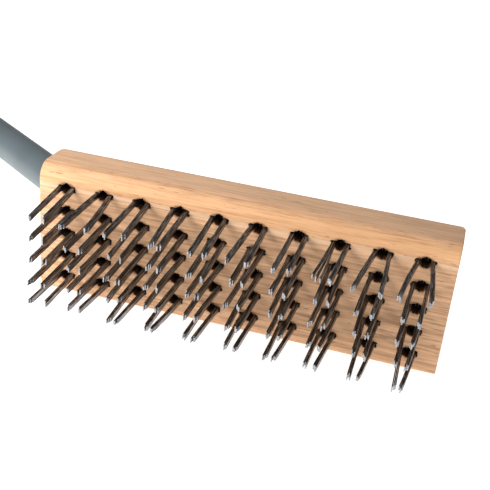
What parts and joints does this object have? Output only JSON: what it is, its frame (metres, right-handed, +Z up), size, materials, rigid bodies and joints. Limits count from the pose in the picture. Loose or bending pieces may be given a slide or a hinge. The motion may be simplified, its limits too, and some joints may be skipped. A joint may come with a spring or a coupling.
{
  "type": "flat wire scrubbing brush",
  "caption": "Wood block scrubbing brush with rows of folded flat steel wire tufts and a round grey handle set in its back at a slant.",
  "frame": {"origin": "middle of the block's lower long side, halfway through the block's thickness, on the surface that the brush stands on", "axes": "+Z up across the block's width; +X along the block, away from the handle; -Y out of the bristle face"},
  "size_m": [0.5007, 0.2864, 0.086],
  "materials": {
    "block_wood": "planed, bare",
    "wire_steel": "dark tempered, bright cut tips",
    "grey_paint": "satin grey paint",
    "screw_steel": "satin"
  },
  "bodies": {
    "root": {"block": "block_wood", "handle": "grey_paint", "handle_screw": "screw_steel", "tuft_r1_c1": "wire_steel", "tuft_r1_c2": "wire_steel", "tuft_r1_c3": "wire_steel", "tuft_r1_c4": "wire_steel", "tuft_r1_c5": "wire_steel", "tuft_r1_c6": "wire_steel", "tuft_r1_c7": "wire_steel", "tuft_r1_c8": "wire_steel", "tuft_r1_c9": "wire_steel", "tuft_r1_c10": "wire_steel", "tuft_r2_c1": "wire_steel", "tuft_r2_c2": "wire_steel", "tuft_r2_c3": "wire_steel", "tuft_r2_c4": "wire_steel", "tuft_r2_c5": "wire_steel", "tuft_r2_c6": "wire_steel", "tuft_r2_c7": "wire_steel", "tuft_r2_c8": "wire_steel", "tuft_r2_c9": "wire_steel", "tuft_r2_c10": "wire_steel", "tuft_r3_c1": "wire_steel", "tuft_r3_c2": "wire_steel", "tuft_r3_c3": "wire_steel", "tuft_r3_c4": "wire_steel", "tuft_r3_c5": "wire_steel", "tuft_r3_c6": "wire_steel", "tuft_r3_c7": "wire_steel", "tuft_r3_c8": "wire_steel", "tuft_r3_c9": "wire_steel", "tuft_r3_c10": "wire_steel", "tuft_r4_c1": "wire_steel", "tuft_r4_c2": "wire_steel", "tuft_r4_c3": "wire_steel", "tuft_r4_c4": "wire_steel", "tuft_r4_c5": "wire_steel", "tuft_r4_c6": "wire_steel", "tuft_r4_c7": "wire_steel", "tuft_r4_c8": "wire_steel", "tuft_r4_c9": "wire_steel", "tuft_r4_c10": "wire_steel", "tuft_r5_c1": "wire_steel", "tuft_r5_c2": "wire_steel", "tuft_r5_c3": "wire_steel", "tuft_r5_c4": "wire_steel", "tuft_r5_c5": "wire_steel", "tuft_r5_c6": "wire_steel", "tuft_r5_c7": "wire_steel", "tuft_r5_c8": "wire_steel", "tuft_r5_c9": "wire_steel", "tuft_r5_c10": "wire_steel"}
  },
  "joints": []
}
